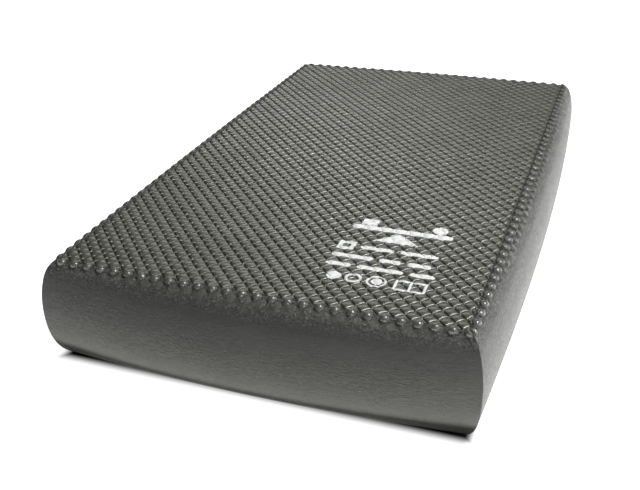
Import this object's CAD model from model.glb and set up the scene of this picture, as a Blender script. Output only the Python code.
"""Looks of the balance pad: an embossed foam skin around a foam core, with printed marks.

Everything is in metres in the CAD model's frame: +Z up, X across the pad, Y along it, and the
origin at the centre of the underside, on the floor.
"""

import math

import bmesh
import bpy
import numpy as np
from mathutils import Euler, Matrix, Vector


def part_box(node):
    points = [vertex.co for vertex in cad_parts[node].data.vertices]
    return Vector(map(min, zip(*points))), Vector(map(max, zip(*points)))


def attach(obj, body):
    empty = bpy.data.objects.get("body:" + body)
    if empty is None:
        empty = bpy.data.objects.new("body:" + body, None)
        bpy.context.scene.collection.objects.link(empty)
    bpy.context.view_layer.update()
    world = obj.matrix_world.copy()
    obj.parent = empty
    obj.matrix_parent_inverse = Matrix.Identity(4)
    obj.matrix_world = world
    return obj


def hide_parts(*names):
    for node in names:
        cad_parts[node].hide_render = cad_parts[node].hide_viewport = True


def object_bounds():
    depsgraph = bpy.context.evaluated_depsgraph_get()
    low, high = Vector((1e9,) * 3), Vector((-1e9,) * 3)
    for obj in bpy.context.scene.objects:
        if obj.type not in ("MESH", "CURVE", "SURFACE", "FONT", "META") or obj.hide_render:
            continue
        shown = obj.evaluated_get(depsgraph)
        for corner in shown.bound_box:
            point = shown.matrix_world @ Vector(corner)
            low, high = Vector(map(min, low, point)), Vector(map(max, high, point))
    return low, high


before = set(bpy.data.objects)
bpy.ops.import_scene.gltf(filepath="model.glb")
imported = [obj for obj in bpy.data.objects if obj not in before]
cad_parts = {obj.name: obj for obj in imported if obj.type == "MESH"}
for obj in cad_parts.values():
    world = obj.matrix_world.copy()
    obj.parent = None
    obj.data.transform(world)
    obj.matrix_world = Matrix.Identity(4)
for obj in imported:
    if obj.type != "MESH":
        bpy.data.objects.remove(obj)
cad_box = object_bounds()

MM = 0.001
QUARTER_TURN = math.pi / 2

# Sizes of the pad, from the frame
WIDTH, LENGTH, HEIGHT = (float(high - low) for low, high in zip(*cad_box))
SKIN = float(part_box("top_skin")[1][2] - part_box("top_skin")[0][2])

# The rolled edge, with the CAD model's own formula
GROOVE_HALF_WIDTH = 0.1100
GROOVE_HALF_LENGTH = 0.1865
LONG_CORNER_REACH = 0.0091
END_CORNER_REACH = 0.0080
BASE_TUCK = 0.0029
UPPER_ROLL_POWER = 1.95
LOWER_ROLL_POWER = 2.34

# The gap between the skin and the foam inside
CORE_GAP = 0.3 * MM

# The tread: diamond nubs on a slanted lattice, NUB_ACROSS by NUB_LENGTHWAYS from tip to tip
NUB_ACROSS = 8.03 * MM
NUB_LENGTHWAYS = 8.55 * MM
FIRST_NUB = (106.6 * MM, -182.2 * MM)
GROOVE_DEPTH = 1.40 * MM
GROOVE_POWER = 7.0
GROOVE_PINCH = 0.95
BORDER_GROOVE_DEPTH = 1.05 * MM
BORDER_GROOVE_REACH = 1.4 * MM
NUB_TILT = 0.05 * MM
STATIONS = (-0.5, -0.45, -0.36, 0.0, 0.36, 0.45)
SLOPE_STEP = 0.04 * MM

# The rows of beads on the roll, counted outwards from the border groove, in millimetres
BEAD_ROWS = (
    {"away": 2.4, "high": 2.10, "radius": 2.60, "power": 0.6, "shift": 0.0, "fade": (0.985, 1.0)},
    {"away": 6.0, "high": 1.15, "radius": 2.55, "power": 0.75, "shift": 0.5, "fade": (0.35, 0.95)},
)
BEAD_SHARES = (0.70, 0.50, 0.45, 1.0)
BEAD_GLOSS_HEIGHT = 0.9 * MM
ROLL_RECESS = 0.45 * MM
ROLL_RECESS_REACH = 10.0 * MM
COLUMN_STEP = 0.55 * MM
BEAD_STEP = 0.44 * MM
BEAD_REACH = 8.4 * MM
ROLL_STEP = 1.0 * MM
ROLL_REACH = 18.0 * MM
SIDE_STEP = 2.6 * MM

# The printed block, with the CAD model's own places, in millimetres from its corner
PRINT_CORNER = (0.0265, -0.1633)
DASH_HEIGHT = 3.6
DASH_ROWS = {
    "a": (35.9, ((12.5, 18.5), (34.5, 20.5))),
    "b": (24.7, ((0.0, 22.5), (26.0, 11.5), (41.0, 12.5))),
    "c": (15.2, ((0.0, 13.5), (17.0, 24.5), (45.0, 13.0))),
}
ROUND_STEPS = 36
INK_PROUD = 0.06 * MM
INK_DEEP = 0.12 * MM
INK_RELIEF = 0.45

# Colours of the skin, and the shares by which its tones shift
OLIVE_DARK = (0.016, 0.017, 0.013, 1.0)
OLIVE_SIDE = (0.076, 0.078, 0.066, 1.0)
OLIVE = (0.088, 0.090, 0.076, 1.0)
OLIVE_BEAD = (0.125, 0.127, 0.112, 1.0)
OLIVE_FLECK = (0.32, 0.32, 0.30, 1.0)
TREAD_OLIVE = (0.095, 0.099, 0.076, 1.0)
TREAD_PALE = (0.116, 0.121, 0.096, 1.0)
BEAD_PALENESS = 0.70
FLECK_SHARE = 0.60
RIGHT_CREST = 0.20
RIGHT_ROLL = 0.20
ROLL_SHADE = 0.40
LOW_GLOSS = 0.10

# Colours of the ink, the foam inside and the floor
INK_WORN = (0.72, 0.73, 0.71, 1.0)
INK_WHITE = (0.92, 0.93, 0.92, 1.0)
INK_THIN = (0.45, 0.46, 0.44, 1.0)
FOAM_PALE = (0.21, 0.215, 0.19, 1.0)
FOAM_DARK = (0.13, 0.133, 0.115, 1.0)
FLOOR_SHADE = (0.05, 0.05, 0.05, 1.0)
FLOOR_PALE = (0.94, 0.94, 0.94, 1.0)

# Heights above the floor, in metres, between which the side's tone and grain change
SHADE_RISE = (0.030, 0.050)
FOOT_RISE = (0.0080, 0.0145)
CREST_RISE = (0.0535, 0.0575)
RIGHT_ROLL_RISE = (0.0490, 0.0530)
WRINKLE_RISE = (0.010, 0.045)
CRINKLE_RISE = (0.046, 0.054)
FLECK_RISE = (0.0500, 0.0565)

# The floor's glow, and the studio's glow from its front to its back
FLOOR_GLOW = 1.05
FLOOR_GLOW_RIGHT = 1.9
WORLD_FRONT = 0.0
WORLD_BACK = 0.50
WORLD_SLANT = (0.45, 0.85, 0.0)

# The camera: it looks at TARGET from DISTANCE away
FOCAL_LENGTH = 48.935
SENSOR_WIDTH = 36.0
CAMERA_AZIMUTH = 20.746
CAMERA_ELEVATION = 27.997
CAMERA_ROLL = -1.5365
CAMERA_TARGET = (-0.0024, -0.0776, 0.030)
CAMERA_DISTANCE = 0.5307


# ---------------------------------------------------------------- shapes


def smooth_step(low, high, value):
    """0 at or below low, 1 at or above high, and a smooth rise between."""
    t = np.clip((value - low) / (high - low), 0.0, 1.0)
    return t * t * (3 - 2 * t)


def add_object(mesh, mat):
    """The object of a mesh, with its material, in the scene."""
    mesh.materials.append(mat)
    obj = bpy.data.objects.new(mesh.name, mesh)
    bpy.context.scene.collection.objects.link(obj)
    return obj


def add_piece(name, verts, faces, mat):
    """A smooth mesh object from arrays of points and faces, with its material."""
    mesh = bpy.data.meshes.new(name)
    corners = [tuple(v) for v in verts]
    loops = [tuple(int(i) for i in face) for face in faces]
    mesh.from_pydata(corners, [], loops)
    mesh.update()
    mesh.shade_smooth()
    mesh.set_sharp_from_angle(angle=math.radians(70))
    return add_object(mesh, mat)


def edge_surface(side, along, turn, inset):
    """Points on one rolled edge, as in the CAD model, for arrays of along, turn and inset."""
    across = (WIDTH / 2, GROOVE_HALF_WIDTH, LONG_CORNER_REACH)
    lengthways = (LENGTH / 2, GROOVE_HALF_LENGTH, END_CORNER_REACH)
    if side % 2 == 0:
        (half_size, groove, corner), (_, end_groove, end_corner) = across, lengthways
    else:
        (half_size, groove, corner), (_, end_groove, end_corner) = lengthways, across
    is_upper = turn <= QUARTER_TURN
    power = np.where(is_upper, UPPER_ROLL_POWER, LOWER_ROLL_POWER)
    tuck = np.where(is_upper, 0.0, BASE_TUCK)
    swell = np.maximum(np.sin(turn), 0.0) ** (2 / power)
    rise = np.sign(np.cos(turn)) * np.abs(np.cos(turn)) ** (2 / power)
    reach = corner - inset + (half_size - groove - corner) * (1 - along**2)
    out = groove - tuck + (reach + tuck) * swell
    run = along * (end_groove - tuck + (end_corner - inset + tuck) * swell)
    heading = side * QUARTER_TURN
    x = out * math.cos(heading) - run * math.sin(heading)
    y = out * math.sin(heading) + run * math.cos(heading)
    z = HEIGHT / 2 + (HEIGHT / 2 - inset) * rise
    return np.stack([x, y, z], axis=-1)


def groove(across, along):
    """Depth of the groove along one edge of a nub, as a share. across and along run from -0.5 to
    0.5 over the nub. The groove lies at the ends of across, deep along the middle of the edge and
    pinched at the tips."""
    return np.abs(2 * across) ** GROOVE_POWER * (1 - GROOVE_PINCH * (2 * along) ** 4)


def tread_height(x, y, tuck=0.0):
    """How far the tread dips below the pad's face at each x and y. On the underside the border
    grooves lie further in, by tuck."""
    u = (x - FIRST_NUB[0]) / NUB_ACROSS + (y - FIRST_NUB[1]) / NUB_LENGTHWAYS
    v = (x - FIRST_NUB[0]) / NUB_ACROSS - (y - FIRST_NUB[1]) / NUB_LENGTHWAYS
    iu, iv = np.round(u), np.round(v)
    su, sv = u - iu, v - iv
    grooves = np.minimum(groove(su, sv) + groove(sv, su), 1.0)
    lean = su * np.sin(iu * 12.9898 + iv * 78.233) + sv * np.sin(iu * 39.3468 + iv * 11.135)
    edge = np.minimum(GROOVE_HALF_WIDTH - np.abs(x), GROOVE_HALF_LENGTH - np.abs(y)) - tuck
    border = 1 - smooth_step(0.0, BORDER_GROOVE_REACH, edge)
    dip = GROOVE_DEPTH * grooves + NUB_TILT * lean * (1 - grooves)
    return -(BORDER_GROOVE_DEPTH * border + dip * (1 - border))


def tread_normals(x, y, tuck, relief):
    """The upward normal at each x and y, where the tread shows with a share of its relief."""
    step = SLOPE_STEP
    rise_x = tread_height(x + step, y, tuck) - tread_height(x - step, y, tuck)
    rise_y = tread_height(x, y + step, tuck) - tread_height(x, y - step, tuck)
    normals = np.stack([-relief * rise_x, -relief * rise_y, np.full_like(x, 2 * step)], axis=-1)
    return normals / np.linalg.norm(normals, axis=1, keepdims=True)


def add_draped(name, bm, up, tuck, relief, mat):
    """The object of a closed shell on the tread, shaded by the tread's own slope."""
    bmesh.ops.triangulate(bm, faces=bm.faces)
    bm.normal_update()
    facing = np.array([vert.normal.z * up for vert in bm.verts])
    flat = np.array([vert.co[:2] for vert in bm.verts])
    normals = tread_normals(flat[:, 0], flat[:, 1], tuck, relief)
    normals[:, 2] *= up
    normals[facing < 0] = (0.0, 0.0, -up)
    mesh = bpy.data.meshes.new(name)
    bm.to_mesh(mesh)
    bm.free()
    mesh.shade_smooth()
    mesh.normals_split_custom_set_from_vertices(normals.tolist())
    return add_object(mesh, mat)


def tread_grid(half_width, half_length):
    """A lattice-aligned grid over a rectangle, not yet trimmed: points in the plane, and faces."""
    reach = int((half_width / NUB_ACROSS + half_length / NUB_LENGTHWAYS)) + 4
    middle_u = round(-FIRST_NUB[0] / NUB_ACROSS - FIRST_NUB[1] / NUB_LENGTHWAYS)
    middle_v = round(-FIRST_NUB[0] / NUB_ACROSS + FIRST_NUB[1] / NUB_LENGTHWAYS)
    us = np.array([middle_u + c + s for c in range(-reach, reach + 1) for s in STATIONS])
    vs = np.array([middle_v + c + s for c in range(-reach, reach + 1) for s in STATIONS])
    u, v = np.meshgrid(us, vs, indexing="ij")
    x = FIRST_NUB[0] + NUB_ACROSS * (u + v) / 2
    y = FIRST_NUB[1] + NUB_LENGTHWAYS * (u - v) / 2
    count = len(us)
    index = np.arange(count * count).reshape(count, count)
    faces = np.stack(
        [index[:-1, :-1], index[:-1, 1:], index[1:, 1:], index[1:, :-1]], axis=-1
    ).reshape(-1, 4)
    margin = NUB_LENGTHWAYS
    points = np.stack([x.ravel(), y.ravel()], axis=-1)
    is_beside = np.abs(points[:, 0]) < half_width + margin
    is_along = np.abs(points[:, 1]) < half_length + margin
    near = is_beside & is_along
    faces = faces[near[faces].all(axis=1)]
    used, inverse = np.unique(faces, return_inverse=True)
    return points[used], inverse.reshape(faces.shape)


def cut(bm, point, direction, clear_outer=False):
    """Split a bmesh along a plane, and drop what lies beyond the plane if clear_outer."""
    geom = bm.verts[:] + bm.edges[:] + bm.faces[:]
    bmesh.ops.bisect_plane(
        bm, geom=geom, dist=1e-7, plane_co=point, plane_no=direction, clear_outer=clear_outer
    )


def trimmed_plane(points, faces, planes):
    """A flat bmesh of the grid, cut off beyond each of the planes (point, outward direction)."""
    bm = bmesh.new()
    verts = [bm.verts.new((x, y, 0.0)) for x, y in points]
    for face in faces:
        bm.faces.new([verts[i] for i in face])
    for point, direction in planes:
        cut(bm, point, direction, clear_outer=True)
    return bm


def close_below(bm, floor_of):
    """Turn an open sheet into a closed shell. floor_of gives the height of its underside."""
    sheet_verts = bm.verts[:]
    rim = [edge for edge in bm.edges if edge.is_boundary]
    copy = bmesh.ops.duplicate(bm, geom=sheet_verts + bm.edges[:] + bm.faces[:])
    twin = copy["vert_map"]
    for edge in rim:
        a, b = edge.verts
        bm.faces.new((a, b, twin[b], twin[a]))
    for vert in sheet_verts:
        twin[vert].co.z = floor_of(vert)
    bmesh.ops.recalc_face_normals(bm, faces=bm.faces)


def tread_piece(name, face_height, up, mat):
    """The embossed skin between the border grooves. up is 1 on the top and -1 on the underside."""
    tuck = 0.0 if up > 0 else BASE_TUCK
    half_width, half_length = GROOVE_HALF_WIDTH - tuck, GROOVE_HALF_LENGTH - tuck
    points, faces = tread_grid(half_width, half_length)
    planes = []
    for sign in (1, -1):
        planes.append(((sign * half_width, 0, 0), (sign, 0, 0)))
        planes.append(((0, sign * half_length, 0), (0, sign, 0)))
    bm = trimmed_plane(points, faces, planes)
    for place, direction in planes:
        for share in (0.5, 1.0):
            inset = [c - share * BORDER_GROOVE_REACH * d for c, d in zip(place, direction)]
            cut(bm, inset, direction)
    flat = np.array([v.co[:2] for v in bm.verts])
    heights = tread_height(flat[:, 0], flat[:, 1], tuck)
    for vert, height in zip(bm.verts, heights):
        vert.co.z = face_height + up * height
    rim = [edge for edge in bm.edges if edge.is_boundary]
    skirt = bmesh.ops.extrude_edge_only(bm, edges=rim)["geom"]
    lower = [part for part in skirt if isinstance(part, bmesh.types.BMVert)]
    for vert in lower:
        vert.co.z = face_height - up * SKIN
    bmesh.ops.holes_fill(bm, edges=[edge for edge in bm.edges if edge.is_boundary], sides=0)
    bmesh.ops.recalc_face_normals(bm, faces=bm.faces)
    return add_draped(name, bm, up, tuck, 1.0, mat)


def section_turns():
    """Stations round the edge's section: close together near both grooves, and wider between."""
    dense = np.linspace(0.0, math.pi, 2001)
    points = edge_surface(0, np.zeros_like(dense), dense, 0.0)
    lengths = np.concatenate([[0.0], np.cumsum(np.linalg.norm(np.diff(points, axis=0), axis=1))])
    total = lengths[-1]
    fine = np.concatenate(
        [np.arange(0.0, BEAD_REACH, BEAD_STEP), np.arange(BEAD_REACH, ROLL_REACH, ROLL_STEP)]
    )
    middle_count = int(round((total - 2 * ROLL_REACH) / SIDE_STEP))
    middle = np.linspace(ROLL_REACH, total - ROLL_REACH, middle_count + 1)
    places = np.concatenate([fine, middle, total - fine[::-1]])
    return np.interp(places, lengths, dense)


def bead_rows(place, away, along, anchor, pitch):
    """Height of the beads at each place along a side and distance away from the border groove."""
    height = np.zeros_like(place)
    for row in BEAD_ROWS:
        count = np.round((place - anchor) / pitch - row["shift"])
        centre = anchor + pitch * (count + row["shift"])
        uneven = 1 + 0.08 * np.sin(count * 37.7 + row["away"] * 9)
        spread = (place - centre) ** 2 + (away - row["away"] * MM) ** 2
        dome = np.clip(1 - spread / (row["radius"] * MM) ** 2, 0.0, 1.0) ** row["power"]
        fade = 1 - smooth_step(row["fade"][0], row["fade"][1], np.abs(along))
        height += row["high"] * MM * dome * fade * uneven
    return height


def bead_anchor(side):
    """Where one bead of the first row lies along a side, so that the rows carry on the lattice."""
    first_x, first_y = FIRST_NUB
    half_x, half_y = NUB_ACROSS / 2, NUB_LENGTHWAYS / 2
    return (first_y + half_y, first_x + half_x, first_y, first_x + half_x)[side]


def edge_piece(name, side, mat):
    """The skin of one rolled edge, from groove to groove, with its beads."""
    turns = section_turns()
    half_run = GROOVE_HALF_LENGTH if side % 2 == 0 else GROOVE_HALF_WIDTH
    columns = int(2 * half_run / COLUMN_STEP)
    alongs = np.linspace(-1.0, 1.0, columns + 1)
    along, turn = np.meshgrid(alongs, turns)
    plain = edge_surface(side, along, turn, 0.0)
    steps = np.linalg.norm(np.diff(plain, axis=0), axis=2)
    from_top = np.concatenate([np.zeros((1, len(alongs))), np.cumsum(steps, axis=0)])
    from_base = from_top[-1] - from_top
    away = np.minimum(from_top, from_base)
    upper = from_top < from_base
    recess = upper * ROLL_RECESS * (1 - smooth_step(2.0 * MM, ROLL_RECESS_REACH, away))
    border = BORDER_GROOVE_DEPTH * (1 - smooth_step(0.0, BORDER_GROOVE_REACH, away))
    base = edge_surface(side, along, turn, np.maximum(recess, border))

    normal = np.cross(np.gradient(base, axis=1), np.gradient(base, axis=0))
    normal /= np.linalg.norm(normal, axis=2, keepdims=True)
    outward = (base[..., 0] * normal[..., 0] + base[..., 1] * normal[..., 1]).mean()
    normal *= math.copysign(1.0, outward)

    place = base[..., 1] if side % 2 == 0 else base[..., 0]
    pitch = NUB_LENGTHWAYS if side % 2 == 0 else NUB_ACROSS
    beads = bead_rows(place, away, along, bead_anchor(side), pitch) * upper * BEAD_SHARES[side]
    outer = base + normal * beads[..., None]

    inner_turns = turns[:: len(turns) // 12]
    if inner_turns[-1] != turns[-1]:
        inner_turns = np.append(inner_turns, turns[-1])
    inner_along, inner_turn = np.meshgrid(alongs, inner_turns)
    inner = edge_surface(side, inner_along, inner_turn, SKIN)
    return closed_strip(name, outer, inner, np.clip(beads / BEAD_GLOSS_HEIGHT, 0.0, 1.0), mat)


def closed_strip(name, outer, inner, on_bead, mat):
    """A closed shell from two grids that share their columns but not their rows. on_bead says how
    far up a bead each point of the outer grid is, from 0 to 1, for the material."""
    rows, columns = outer.shape[:2]
    inner_rows = inner.shape[0]
    points = np.concatenate([outer.reshape(-1, 3), inner.reshape(-1, 3)])
    front = np.arange(rows * columns).reshape(rows, columns)
    back = rows * columns + np.arange(inner_rows * columns).reshape(inner_rows, columns)
    faces = []
    for grid in (front, back):
        quads = np.stack([grid[:-1, :-1], grid[1:, :-1], grid[1:, 1:], grid[:-1, 1:]], axis=-1)
        faces += quads.reshape(-1, 4).tolist()
    for row in (0, -1):
        for i in range(columns - 1):
            faces.append([front[row, i], front[row, i + 1], back[row, i + 1], back[row, i]])
    for column in (0, -1):
        faces.append(front[:, column].tolist() + back[::-1, column].tolist())
    bm = bmesh.new()
    verts = [bm.verts.new(p) for p in points]
    for face in faces:
        bm.faces.new([verts[int(i)] for i in face])
    caps = [f for f in bm.faces if len(f.verts) > 4]
    bmesh.ops.triangulate(bm, faces=caps)
    bmesh.ops.recalc_face_normals(bm, faces=bm.faces)
    mesh = bpy.data.meshes.new(name)
    bm.to_mesh(mesh)
    bm.free()
    mesh.shade_smooth()
    mesh.set_sharp_from_angle(angle=math.radians(60))
    marks = np.zeros(len(points), dtype=np.float32)
    marks[: rows * columns] = on_bead.ravel()
    mesh.attributes.new("bead", "FLOAT", "POINT").data.foreach_set("value", marks)
    return add_object(mesh, mat)


def core_piece(name, mat):
    """The foam inside the skin, with the rolled shape of its outside."""
    turns = np.linspace(0.0, math.pi, 25)
    alongs = np.linspace(-1.0, 1.0, 37)[:-1]
    rings = []
    for turn in turns:
        level = np.full_like(alongs, turn)
        ring = [edge_surface(side, alongs, level, SKIN + CORE_GAP) for side in range(4)]
        rings.append(np.concatenate(ring))
    rings = np.array(rings)
    count = rings.shape[1]
    points = rings.reshape(-1, 3)
    faces = []
    for k in range(len(turns) - 1):
        for i in range(count):
            j = (i + 1) % count
            faces.append([(k + 1) * count + i, (k + 1) * count + j, k * count + j, k * count + i])
    faces.append(list(range(count)))
    faces.append([(len(turns) - 1) * count + i for i in reversed(range(count))])
    return add_piece(name, points, faces, mat)


# ---------------------------------------------------------------- print


def box_shape(x, y, width, height):
    return [(x, y), (x + width, y), (x + width, y + height), (x, y + height)]


def round_shape(x, y, radius):
    steps = [2 * math.pi * i / ROUND_STEPS for i in range(ROUND_STEPS)]
    return [(x + radius * math.cos(a), y + radius * math.sin(a)) for a in steps]


def pill_shape(x, y, width, height):
    """A dash with round ends."""
    radius = height / 2
    half_turn = ROUND_STEPS // 3
    points = []
    for centre, start in ((x + width - radius, -QUARTER_TURN), (x + radius, QUARTER_TURN)):
        for i in range(half_turn + 1):
            angle = start + math.pi * i / half_turn
            swing = (radius * math.cos(angle), radius * math.sin(angle))
            points.append((centre + swing[0], y + radius + swing[1]))
    return points


def wedge_shape(x, y, width, height):
    return [(x, y), (x + width, y), (x + width / 2, y + height)]


def print_shapes():
    """Each island of ink: its outline, then its holes. It is a generic picture of balance, a beam
    on a wedge with a block and a ball, above plain dashes and plain signs."""
    shapes = {
        "print_wedge": [wedge_shape(16.5, 46.8, 25.0, 10.8)],
        "print_beam": [pill_shape(0.5, 58.4, 57.0, 4.8)],
        "print_block": [box_shape(4.6, 64.0, 9.0, 7.0)],
        "print_ball": [round_shape(48.8, 68.2, 4.2)],
        "print_square": [box_shape(0.0, 33.0, 9.2, 9.2), box_shape(2.6, 35.6, 4.0, 4.0)],
        "print_disc": [round_shape(8.6, 5.2, 3.9)],
        "print_ring": [round_shape(18.9, 5.2, 4.4), round_shape(18.9, 5.2, 2.9)],
        "print_dot_ring": [round_shape(30.9, 5.2, 5.3), round_shape(30.9, 5.2, 4.2)],
        "print_dot": [round_shape(30.9, 5.2, 2.8)],
        "print_frame": [
            box_shape(40.0, 0.3, 16.3, 9.8),
            box_shape(41.3, 1.6, 6.2, 7.2),
            box_shape(48.8, 1.6, 6.2, 7.2),
        ],
    }
    for row, (y, dashes) in DASH_ROWS.items():
        for i, (x, width) in enumerate(dashes):
            shapes[f"print_dash_{row}{i + 1}"] = [pill_shape(x, y, width, DASH_HEIGHT)]
    return shapes


def edge_planes(outline):
    """The outward-facing vertical plane through each straight edge of a convex outline."""
    planes = []
    for (ax, ay), (bx, by) in zip(outline, outline[1:] + outline[:1]):
        if math.hypot(bx - ax, by - ay) > 1e-9:
            planes.append(((ax, ay, 0.0), Vector((by - ay, ax - bx, 0.0)).normalized()))
    return planes


def is_inside(point, planes):
    return all((point - Vector(on_plane)).dot(direction) < 0 for on_plane, direction in planes)


def ink_piece(name, loops, mat):
    """One island of ink, draped over the tread and a little proud of it."""
    corner_x, corner_y = PRINT_CORNER
    places = [[(corner_x + x * MM, corner_y + y * MM) for x, y in loop] for loop in loops]
    points, faces = tread_grid(GROOVE_HALF_WIDTH, GROOVE_HALF_LENGTH)
    low = np.min(places[0], axis=0) - 2 * MM
    high = np.max(places[0], axis=0) + 2 * MM
    near = ((points > low) & (points < high)).all(axis=1)
    faces = faces[near[faces].any(axis=1)]
    used, inverse = np.unique(faces, return_inverse=True)
    bm = trimmed_plane(points[used], inverse.reshape(faces.shape), edge_planes(places[0]))
    for hole in places[1:]:
        planes = edge_planes(hole)
        for point, direction in planes:
            cut(bm, point, direction)
        inside = [f for f in bm.faces if is_inside(f.calc_center_median(), planes)]
        bmesh.ops.delete(bm, geom=inside, context="FACES")
    flat = np.array([v.co[:2] for v in bm.verts])
    heights = tread_height(flat[:, 0], flat[:, 1])
    for vert, height in zip(bm.verts, heights):
        vert.co.z = HEIGHT + INK_RELIEF * height + INK_PROUD
    close_below(bm, lambda vert: HEIGHT + (vert.co.z - INK_PROUD - HEIGHT) / INK_RELIEF - INK_DEEP)
    return add_draped(name, bm, 1, 0.0, INK_RELIEF, mat)


# ---------------------------------------------------------------- materials


class Nodes:
    """A short way to write a material's nodes."""

    def __init__(self, name):
        self.mat = bpy.data.materials.new(name)
        self.mat.use_nodes = True
        self.tree = self.mat.node_tree
        self.shader = self.tree.nodes["Principled BSDF"]
        self.place = self.add("ShaderNodeTexCoord").outputs["Object"]

    def add(self, kind, **settings):
        node = self.tree.nodes.new(kind)
        for key, value in settings.items():
            setattr(node, key, value)
        return node

    def link(self, source, target):
        self.tree.links.new(source, target)

    def put(self, value, socket):
        """Give a socket a fixed number or colour, or link another node's output to it."""
        if isinstance(value, (int, float, tuple)):
            socket.default_value = value
        else:
            self.link(value, socket)

    def noise(self, scale, detail=2.0, roughness=0.5, distortion=0.0, place=None):
        node = self.add("ShaderNodeTexNoise")
        node.inputs["Scale"].default_value = scale
        node.inputs["Detail"].default_value = detail
        node.inputs["Roughness"].default_value = roughness
        node.inputs["Distortion"].default_value = distortion
        self.link(place or self.place, node.inputs["Vector"])
        return node.outputs["Fac"]

    def remap(self, value, low, high, new_low=0.0, new_high=1.0):
        """A smooth change from new_low to new_high as the value goes from low to high."""
        node = self.add("ShaderNodeMapRange", interpolation_type="SMOOTHSTEP")
        self.link(value, node.inputs["Value"])
        limits = {"From Min": low, "From Max": high, "To Min": new_low, "To Max": new_high}
        for key, number in limits.items():
            node.inputs[key].default_value = number
        return node.outputs["Result"]

    def maths(self, operation, a, b):
        node = self.add("ShaderNodeMath", operation=operation)
        self.put(a, node.inputs[0])
        self.put(b, node.inputs[1])
        return node.outputs["Value"]

    def mix(self, factor, a, b):
        node = self.add("ShaderNodeMix", data_type="RGBA")
        self.link(factor, node.inputs["Factor"])
        for value, key in ((a, "A"), (b, "B")):
            self.put(value, [s for s in node.inputs if s.name == key and s.type == "RGBA"][0])
        return [s for s in node.outputs if s.type == "RGBA"][0]

    def axis(self, letter):
        """One coordinate of the place, in metres. No piece is moved, so it is the world's too."""
        node = self.add("ShaderNodeSeparateXYZ")
        self.link(self.place, node.inputs["Vector"])
        return node.outputs[letter]

    def bump(self, height, strength, distance, before=None):
        node = self.add("ShaderNodeBump")
        node.inputs["Strength"].default_value = strength
        node.inputs["Distance"].default_value = distance
        self.link(height, node.inputs["Height"])
        if before is not None:
            self.link(before, node.inputs["Normal"])
        return node.outputs["Normal"]

    def finish(self, colour, roughness, normal=None, specular=0.5):
        self.put(colour, self.shader.inputs["Base Color"])
        self.put(roughness, self.shader.inputs["Roughness"])
        self.put(specular, self.shader.inputs["Specular IOR Level"])
        if normal is not None:
            self.link(normal, self.shader.inputs["Normal"])
        return self.mat


def tread_material(name, face_height, up):
    """Compact foam skin: olive grey, darker down in the grooves, with a fine uneven surface."""
    n = Nodes(name)
    patches = n.remap(n.noise(38.0, detail=3.0), 0.35, 0.68)
    tone = n.mix(patches, TREAD_OLIVE, TREAD_PALE)
    dark_below = face_height - up * 0.80 * GROOVE_DEPTH
    pale_above = face_height - up * 0.15 * GROOVE_DEPTH
    deep = n.remap(n.axis("Z"), dark_below, pale_above)
    colour = n.mix(deep, OLIVE_DARK, tone)
    roughness = n.remap(n.noise(900.0), 0.3, 0.7, 0.22, 0.34)
    grain = n.bump(n.noise(2600.0, detail=2.0), 0.30, 0.10 * MM)
    return n.finish(colour, roughness, grain, specular=0.8)


def side_colour(n, bead, right, grain, foot):
    """The side's colour: darker up the roll and at the foot, with a pale, flecked crest that is
    less pale on the right-hand edge."""
    patches = n.remap(n.noise(30.0, detail=3.0), 0.35, 0.68)
    tone = n.mix(patches, OLIVE_SIDE, OLIVE)
    crest_share = n.remap(right, 0.0, 1.0, 1.0, RIGHT_CREST)
    crest = n.maths("MULTIPLY", n.remap(n.axis("Z"), *CREST_RISE), crest_share)
    right_roll = n.maths("MULTIPLY", n.remap(n.axis("Z"), *RIGHT_ROLL_RISE), right)
    roll = n.remap(n.axis("Z"), *SHADE_RISE, 1.0, ROLL_SHADE)
    roll = n.maths("MULTIPLY", roll, n.remap(right_roll, 0.0, 1.0, 1.0, RIGHT_ROLL))
    light = n.maths("MAXIMUM", n.maths("MAXIMUM", roll, crest), bead)
    shade = n.mix(n.maths("MULTIPLY", light, foot), OLIVE_DARK, tone)
    off_bead = n.maths("SUBTRACT", 1.0, bead)
    near_crest = n.maths("MULTIPLY", n.remap(n.axis("Z"), *FLECK_RISE), off_bead)
    fleck = n.maths("MULTIPLY", n.remap(grain, 0.50, 0.62, 0.0, FLECK_SHARE), near_crest)
    flecked = n.mix(fleck, shade, OLIVE_FLECK)
    return n.mix(n.maths("MULTIPLY", bead, BEAD_PALENESS), flecked, OLIVE_BEAD)


def side_grain(n, bead, grain):
    """The side's bump: level wrinkles all over, and a crinkle near the top, but none on a bead."""
    stretched = n.add("ShaderNodeMapping")
    stretched.inputs["Scale"].default_value = (0.55, 0.55, 1.7)
    n.link(n.place, stretched.inputs["Vector"])
    wrinkle = n.noise(480.0, 4.0, 0.62, 1.2, place=stretched.outputs["Vector"])
    fold = n.maths("ABSOLUTE", n.maths("SUBTRACT", wrinkle, 0.5), 0.0)
    off_bead = n.maths("SUBTRACT", 1.0, bead)
    strength = n.maths("MULTIPLY", n.remap(n.axis("Z"), *WRINKLE_RISE, 0.25, 1.0), off_bead)
    wrinkled = n.bump(n.maths("MULTIPLY", fold, strength), 1.0, 3.0 * MM)
    rising = n.maths("MULTIPLY", n.remap(n.axis("Z"), *CRINKLE_RISE), off_bead)
    return n.bump(n.maths("MULTIPLY", grain, rising), 1.0, 1.8 * MM, before=wrinkled)


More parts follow.
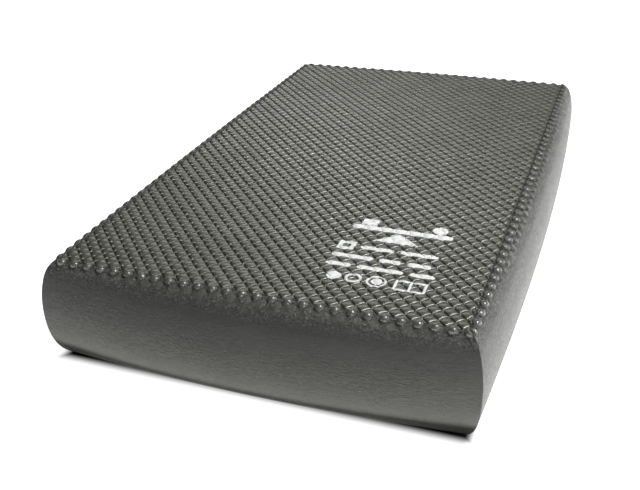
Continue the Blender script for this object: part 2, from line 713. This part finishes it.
def side_material(name):
    """The rolled edge's skin, glossier on the beads and dull at the foot."""
    n = Nodes(name)
    bead = n.add("ShaderNodeAttribute", attribute_name="bead").outputs["Fac"]
    right = n.remap(n.axis("X"), GROOVE_HALF_WIDTH - 4 * MM, GROOVE_HALF_WIDTH + 3 * MM)
    foot = n.remap(n.axis("Z"), *FOOT_RISE)
    grain = n.noise(1000.0, 2.0, 0.6, 1.0)
    matt = n.remap(n.noise(500.0), 0.3, 0.7, 0.36, 0.48)
    roughness = n.maths("SUBTRACT", matt, n.maths("MULTIPLY", bead, 0.16))
    shine = n.maths("ADD", 0.5, n.maths("MULTIPLY", bead, 0.5))
    specular = n.maths("MULTIPLY", shine, n.remap(foot, 0.0, 1.0, LOW_GLOSS, 1.0))
    colour = side_colour(n, bead, right, grain, foot)
    return n.finish(colour, roughness, side_grain(n, bead, grain), specular)


def ink_material(name):
    """White ink on the tops of the nubs, thin where it reaches down into the grooves."""
    n = Nodes(name)
    wear = n.remap(n.noise(700.0, detail=3.0), 0.25, 0.45)
    white = n.mix(wear, INK_WORN, INK_WHITE)
    floor = HEIGHT + INK_PROUD - INK_RELIEF * GROOVE_DEPTH
    deep = n.remap(n.axis("Z"), floor + 0.05 * MM, floor + 0.20 * MM)
    colour = n.mix(deep, INK_THIN, white)
    grain = n.bump(n.noise(2600.0), 0.25, 0.10 * MM)
    return n.finish(colour, 0.55, grain, specular=0.4)


def core_material(name):
    """Fine closed-cell foam."""
    n = Nodes(name)
    cells = n.add("ShaderNodeTexVoronoi")
    cells.inputs["Scale"].default_value = 1400.0
    n.link(n.place, cells.inputs["Vector"])
    shade = n.remap(cells.outputs["Distance"], 0.0, 0.6)
    colour = n.mix(shade, FOAM_PALE, FOAM_DARK)
    return n.finish(colour, 0.9, n.bump(cells.outputs["Distance"], 0.6, 0.3 * MM), specular=0.2)


def floor_material(name):
    """A pale floor with a glow of its own, dark where the pad overhangs it."""
    n = Nodes(name)
    beside = n.maths("SUBTRACT", n.maths("ABSOLUTE", n.axis("X"), 0.0), GROOVE_HALF_WIDTH)
    beyond = n.maths("SUBTRACT", n.maths("ABSOLUTE", n.axis("Y"), 0.0), GROOVE_HALF_LENGTH)
    open_floor = n.remap(n.maths("MAXIMUM", beside, beyond), 0.001, 0.009)
    colour = n.mix(open_floor, FLOOR_SHADE, FLOOR_PALE)
    glow = n.remap(n.axis("X"), 0.12, 0.16, FLOOR_GLOW, FLOOR_GLOW_RIGHT)
    n.link(n.maths("MULTIPLY", open_floor, glow), n.shader.inputs["Emission Strength"])
    n.shader.inputs["Emission Color"].default_value = (1.0, 1.0, 1.0, 1.0)
    return n.finish(colour, 0.9, specular=0.0)


# ---------------------------------------------------------------- stage


def add_floor():
    """A wide floor, a hair below the pad so that the two faces don't share a plane."""
    mesh = bpy.data.meshes.new("floor")
    size = 6.0
    corners = [(-size, -size, 0), (size, -size, 0), (size, size, 0), (-size, size, 0)]
    mesh.from_pydata(corners, [], [(0, 1, 2, 3)])
    mesh.materials.append(floor_material("floor"))
    floor = bpy.data.objects.new("floor", mesh)
    floor.location.z = -0.0004
    bpy.context.scene.collection.objects.link(floor)


def add_area_light(name, place, aim, size, power):
    """A white rectangular light at a place, turned towards its aim."""
    data = bpy.data.lights.new(name, "AREA")
    data.shape = "RECTANGLE"
    data.size, data.size_y = size
    data.energy = power
    light = bpy.data.objects.new(name, data)
    light.location = place
    light.rotation_euler = (Vector(aim) - Vector(place)).to_track_quat("-Z", "Y").to_euler()
    bpy.context.scene.collection.objects.link(light)


def add_world():
    """A plain studio that is dark in front and glows behind the pad."""
    world = bpy.data.worlds.new("studio")
    world.use_nodes = True
    tree = world.node_tree
    background = tree.nodes["Background"]
    direction = tree.nodes.new("ShaderNodeTexCoord")
    slant = tree.nodes.new("ShaderNodeVectorMath")
    slant.operation = "DOT_PRODUCT"
    slant.inputs[1].default_value = WORLD_SLANT
    glow = tree.nodes.new("ShaderNodeMapRange")
    glow.interpolation_type = "SMOOTHSTEP"
    limits = {"From Min": -0.2, "From Max": 0.75, "To Min": WORLD_FRONT, "To Max": WORLD_BACK}
    for key, value in limits.items():
        glow.inputs[key].default_value = value
    tree.links.new(direction.outputs["Generated"], slant.inputs[0])
    tree.links.new(slant.outputs["Value"], glow.inputs["Value"])
    tree.links.new(glow.outputs["Result"], background.inputs["Strength"])
    bpy.context.scene.world = world


def add_lights():
    add_area_light("key", (0.53, -0.02, 0.99), (0.0, -0.05, 0.03), (0.36, 0.36), 11.0)
    add_area_light("right", (1.10, -0.10, 0.25), (0.0, 0.0, 0.02), (1.0, 0.4), 3.0)
    add_area_light("back", (-0.63, 1.60, 0.90), (0.0, 0.05, 0.05), (1.3, 1.2), 6.0)


def add_camera():
    """The camera, on the line from its target at its azimuth and elevation, and rolled."""
    azimuth, elevation = math.radians(CAMERA_AZIMUTH), math.radians(CAMERA_ELEVATION)
    level = math.cos(elevation)
    towards = Vector((math.sin(azimuth) * level, -math.cos(azimuth) * level, math.sin(elevation)))
    data = bpy.data.cameras.new("camera")
    data.sensor_width = SENSOR_WIDTH
    data.lens = FOCAL_LENGTH
    data.clip_start = 0.01
    camera = bpy.data.objects.new("camera", data)
    camera.location = Vector(CAMERA_TARGET) + towards * CAMERA_DISTANCE
    facing = (-towards).to_track_quat("-Z", "Y").to_matrix()
    roll = Vector((0.0, 0.0, math.radians(CAMERA_ROLL)))
    camera.rotation_euler = (facing @ Euler(roll).to_matrix()).to_euler()
    bpy.context.scene.collection.objects.link(camera)
    bpy.context.scene.camera = camera


# ---------------------------------------------------------------- assembly


def keep(piece, node):
    """Let a piece stand for a CAD node."""
    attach(piece, "root")
    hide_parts(node)


def build():
    tread = tread_material("tread_skin_look", HEIGHT, 1)
    base = tread_material("base_skin_look", 0.0, -1)
    side = side_material("side_skin_look")
    ink = ink_material("print_ink_look")

    keep(core_piece("foam_core_look", core_material("foam_core_look")), "foam_core")
    keep(tread_piece("top_tread", HEIGHT, 1, tread), "top_skin")
    keep(tread_piece("base_tread", 0.0, -1, base), "bottom_skin")
    for quarter, place in enumerate(("right", "back", "left", "front")):
        keep(edge_piece(f"rolled_edge_{place}", quarter, side), f"edge_skin_{place}")
    for name, loops in print_shapes().items():
        keep(ink_piece(f"ink_{name[6:]}", loops, ink), name)


bpy.context.scene.view_settings.view_transform = "Standard"
add_floor()
add_world()
add_lights()
add_camera()
build()
